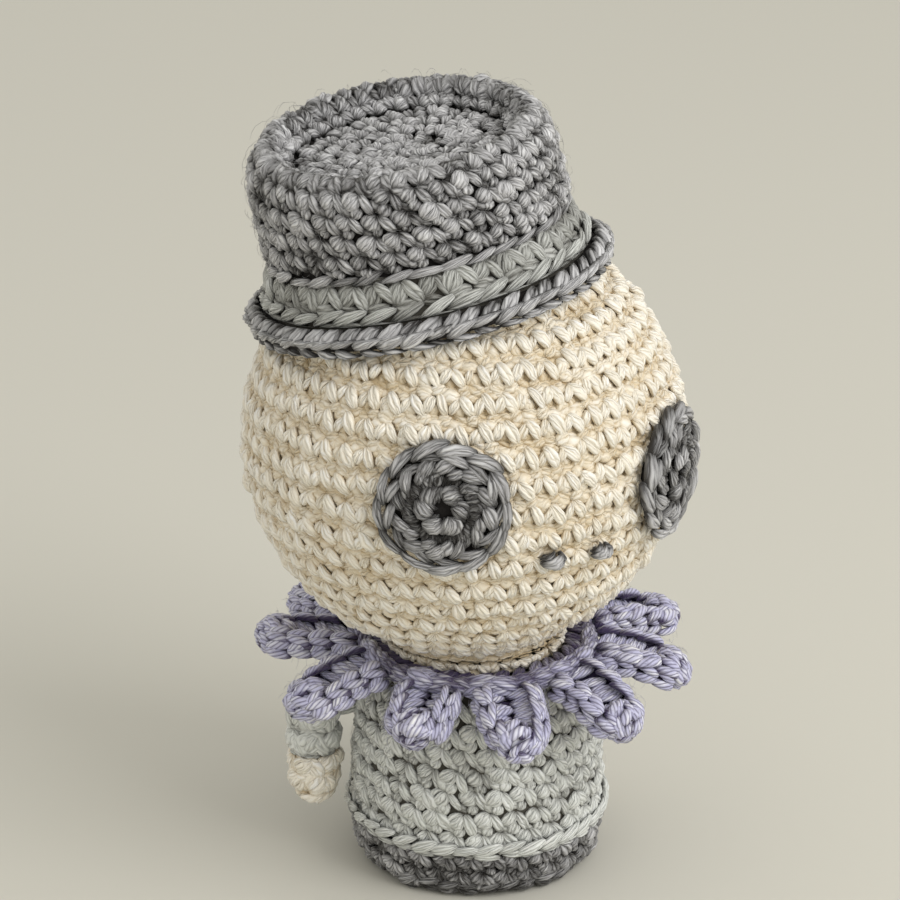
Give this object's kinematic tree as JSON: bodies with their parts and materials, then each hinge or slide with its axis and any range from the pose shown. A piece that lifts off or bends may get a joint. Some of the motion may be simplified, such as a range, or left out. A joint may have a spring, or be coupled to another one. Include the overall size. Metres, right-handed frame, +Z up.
{
  "type": "crochet doll",
  "caption": "Crocheted skeleton doll with a round head, disc eyes, a petal collar, hanging arms and a brimmed hat that lifts off",
  "frame": {"origin": "centre of the flat base, on the surface that the doll stands on", "axes": "+Z up, the face looks along -Y, and the doll's own right hand is at -X"},
  "size_m": [0.0797, 0.0769, 0.138],
  "materials": {
    "cream_yarn": "matte",
    "light_grey_yarn": "matte",
    "dark_grey_yarn": "matte",
    "lavender_yarn": "matte",
    "fibre_stuffing": "matte"
  },
  "bodies": {
    "torso": {"base_disc": "dark_grey_yarn", "base_band": "dark_grey_yarn", "body_cover": "light_grey_yarn", "body_stuffing": "fibre_stuffing", "collar_ring": "lavender_yarn", "collar_petal_1": "lavender_yarn", "collar_petal_2": "lavender_yarn", "collar_petal_3": "lavender_yarn", "collar_petal_4": "lavender_yarn", "collar_petal_5": "lavender_yarn", "collar_petal_6": "lavender_yarn", "collar_petal_7": "lavender_yarn", "collar_petal_8": "lavender_yarn", "collar_petal_9": "lavender_yarn", "collar_petal_10": "lavender_yarn"},
    "neck_lower": {"neck_lower_round": "cream_yarn", "neck_stuffing": "fibre_stuffing"},
    "neck_upper": {"neck_upper_round": "cream_yarn"},
    "head": {"head_cover": "cream_yarn", "head_stuffing": "fibre_stuffing", "right_eye": "dark_grey_yarn", "left_eye": "dark_grey_yarn", "right_nostril": "dark_grey_yarn", "left_nostril": "dark_grey_yarn"},
    "hat": {"hat_brim": "dark_grey_yarn", "hat_band": "light_grey_yarn", "hat_crown": "dark_grey_yarn"},
    "right_shoulder": {"right_shoulder_stitches": "light_grey_yarn"},
    "right_arm": {"right_sleeve": "light_grey_yarn", "right_hand": "cream_yarn", "right_arm_stuffing": "fibre_stuffing"},
    "left_shoulder": {"left_shoulder_stitches": "light_grey_yarn"},
    "left_arm": {"left_sleeve": "light_grey_yarn", "left_hand": "cream_yarn", "left_arm_stuffing": "fibre_stuffing"}
  },
  "joints": [
    {"name": "neck_turn", "type": "hinge", "parent": "torso", "child": "neck_lower", "pos_m": [-0.00104, 0.0006, 0.0402], "axis": [0, 0, 1], "range_deg": [-25, 25], "stiffness_Nm_per_rad": 0.05},
    {"name": "neck_tilt", "type": "hinge", "parent": "neck_lower", "child": "neck_upper", "pos_m": [-0.00104, 0.0006, 0.04245], "axis": [0, 1, 0], "range_deg": [-6, 6], "stiffness_Nm_per_rad": 0.4, "deforming": ["neck_lower_round", "neck_stuffing", "neck_upper_round"]},
    {"name": "neck_nod", "type": "hinge", "parent": "neck_upper", "child": "head", "pos_m": [-0.00104, 0.0006, 0.04245], "axis": [1, 0, 0], "range_deg": [-8, 8], "stiffness_Nm_per_rad": 0.4},
    {"name": "hat_lift", "type": "slide", "parent": "head", "child": "hat", "axis": [-0.1645, 0.138, 0.9767], "range_m": [0, 0.04]},
    {"name": "right_arm_swing", "type": "hinge", "parent": "torso", "child": "right_shoulder", "pos_m": [-0.0262, 0.01222, 0.02889], "axis": [-0.9063, 0.4226, 0], "range_deg": [-40, 40], "stiffness_Nm_per_rad": 0.0001},
    {"name": "right_arm_lift", "type": "hinge", "parent": "right_shoulder", "child": "right_arm", "pos_m": [-0.0262, 0.01222, 0.02889], "axis": [0.4226, 0.9063, 0], "range_deg": [0, 60], "stiffness_Nm_per_rad": 0.0001},
    {"name": "left_arm_swing", "type": "hinge", "parent": "torso", "child": "left_shoulder", "pos_m": [0.0262, 0.01222, 0.02889], "axis": [0.9063, 0.4226, 0], "range_deg": [-40, 40], "stiffness_Nm_per_rad": 0.0001},
    {"name": "left_arm_lift", "type": "hinge", "parent": "left_shoulder", "child": "left_arm", "pos_m": [0.0262, 0.01222, 0.02889], "axis": [0.4226, -0.9063, 0], "range_deg": [0, 60], "stiffness_Nm_per_rad": 0.0001}
  ]
}
